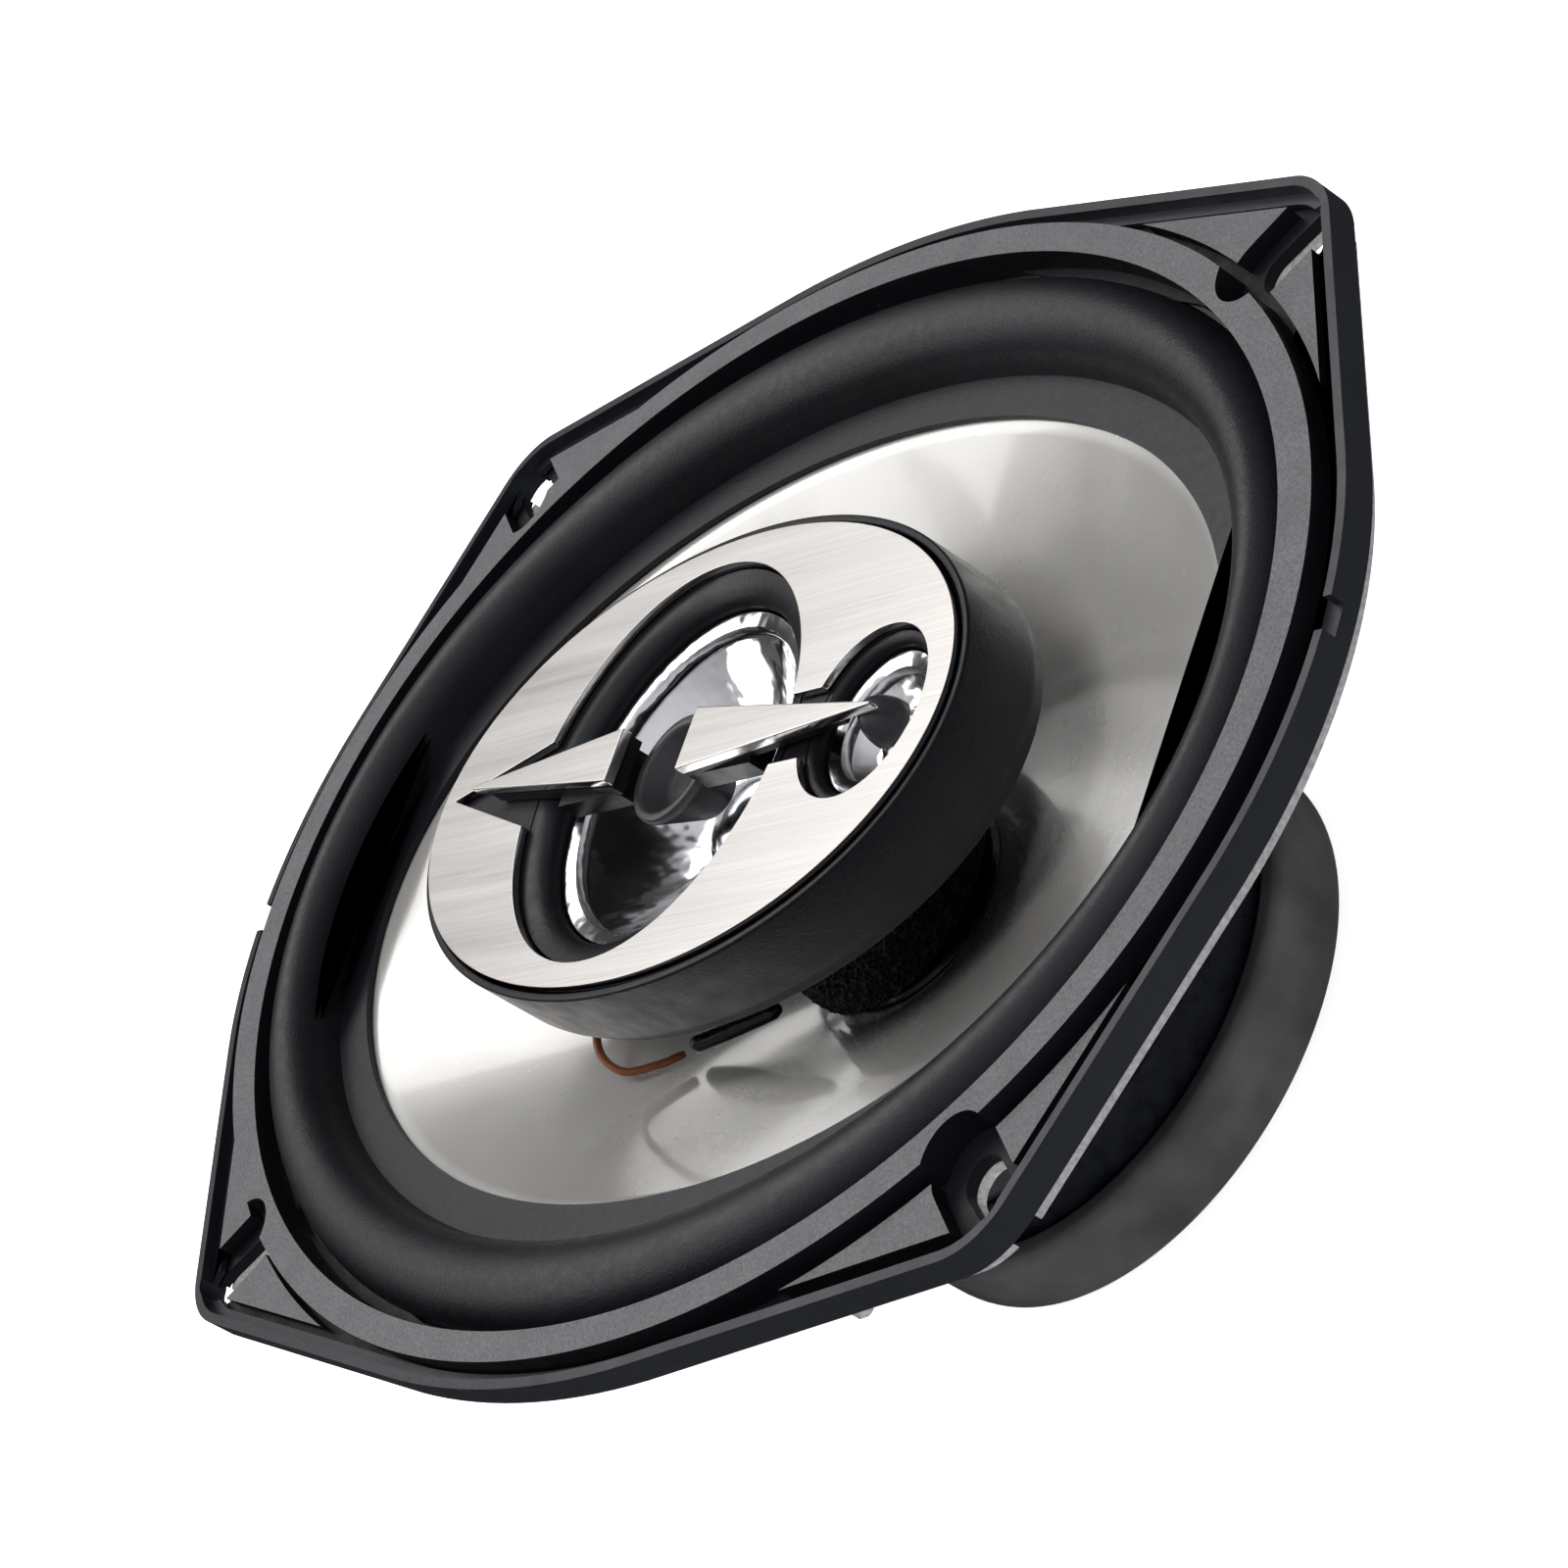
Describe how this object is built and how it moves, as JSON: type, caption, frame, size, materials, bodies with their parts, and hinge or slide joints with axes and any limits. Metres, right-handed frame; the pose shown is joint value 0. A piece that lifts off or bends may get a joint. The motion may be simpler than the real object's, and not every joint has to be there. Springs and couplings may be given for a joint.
{
  "type": "coaxial car speaker",
  "caption": "Oval coaxial car speaker with a pearl cone, brushed tweeter pod on a centre post, grey front gasket and rear magnet in a boot.",
  "frame": {"origin": "centre of the magnet boot rear face, which is the bottom centre of the part", "axes": "+Z along the voice coil axis towards the listener, +X along the long axis of the oval, towards the small tweeter"},
  "size_m": [0.238, 0.171, 0.086],
  "materials": {
    "basket_paint": "satin silver paint",
    "rim_black": "satin black moulding",
    "gasket_foam": "fine grained matte grey",
    "surround_rubber": "satin black rubber",
    "spider_cloth": "resin treated cloth",
    "boot_rubber": "matte moulded rubber",
    "zinc_steel": "zinc plated",
    "ferrite": "ground dark ceramic",
    "cone_pearl": "glossy metallised pearl",
    "kapton": "amber film",
    "copper_wire": "enamelled copper",
    "foam_black": "open cell black foam",
    "pod_black": "satin black moulding",
    "face_brushed": "brushed, clear coated",
    "horn_chrome": "mirror plated",
    "dome_film": "metallised film",
    "board_phenolic": "brown laminate",
    "terminal_brass": "plated brass"
  },
  "bodies": {
    "frame": {"basket": "basket_paint", "rim_ring": "rim_black", "front_gasket": "gasket_foam", "surround": "surround_rubber", "spider": "spider_cloth", "magnet_boot": "boot_rubber", "yoke": "zinc_steel", "ferrite_magnet": "ferrite", "top_plate": "zinc_steel", "basket_rivet_1": "zinc_steel", "basket_rivet_2": "zinc_steel", "basket_rivet_3": "zinc_steel", "basket_rivet_4": "zinc_steel", "tweeter_post": "pod_black", "post_bolt": "zinc_steel", "post_washer": "zinc_steel", "post_nut": "zinc_steel", "pod_shell": "pod_black", "pod_deck": "pod_black", "face_plate": "face_brushed", "tweeter_collar": "pod_black", "tweeter_horn": "horn_chrome", "tweeter_cup": "zinc_steel", "tweeter_magnet": "ferrite", "supertweeter_collar": "pod_black", "supertweeter_horn": "horn_chrome", "supertweeter_cup": "zinc_steel", "supertweeter_magnet": "ferrite", "phase_plug": "pod_black", "supertweeter_plug": "pod_black", "bridge_left": "pod_black", "bridge_right": "pod_black", "blade_left": "face_brushed", "blade_right": "face_brushed", "capacitor_tweeter": "boot_rubber", "capacitor_supertweeter": "boot_rubber", "tweeter_lead": "copper_wire", "terminal_board": "board_phenolic", "terminal_positive": "terminal_brass", "terminal_rivet_positive": "terminal_brass", "tinsel_lead_positive": "copper_wire", "terminal_negative": "terminal_brass", "terminal_rivet_negative": "terminal_brass", "tinsel_lead_negative": "copper_wire"},
    "cone_assembly": {"cone": "cone_pearl", "voice_coil_former": "kapton", "voice_coil_winding": "copper_wire", "dust_foam_ring": "foam_black", "lead_sleeve": "surround_rubber"},
    "tweeter_diaphragm": {"tweeter_dome": "dome_film", "tweeter_coil": "copper_wire"},
    "supertweeter_diaphragm": {"supertweeter_dome": "dome_film", "supertweeter_coil": "copper_wire"}
  },
  "joints": [
    {"name": "cone_travel", "type": "slide", "parent": "frame", "child": "cone_assembly", "axis": [0, 0, 1], "range_m": [-0.004, 0.004], "stiffness_N_per_m": 1600, "deforming": ["surround", "spider", "tinsel_lead_positive", "tinsel_lead_negative", "tweeter_lead"]},
    {"name": "tweeter_travel", "type": "slide", "parent": "frame", "child": "tweeter_diaphragm", "axis": [0, 0, 1], "range_m": [-0.0003, 0.0003], "stiffness_N_per_m": 300},
    {"name": "supertweeter_travel", "type": "slide", "parent": "frame", "child": "supertweeter_diaphragm", "axis": [0, 0, 1], "range_m": [-0.0002, 0.0002], "stiffness_N_per_m": 200}
  ]
}
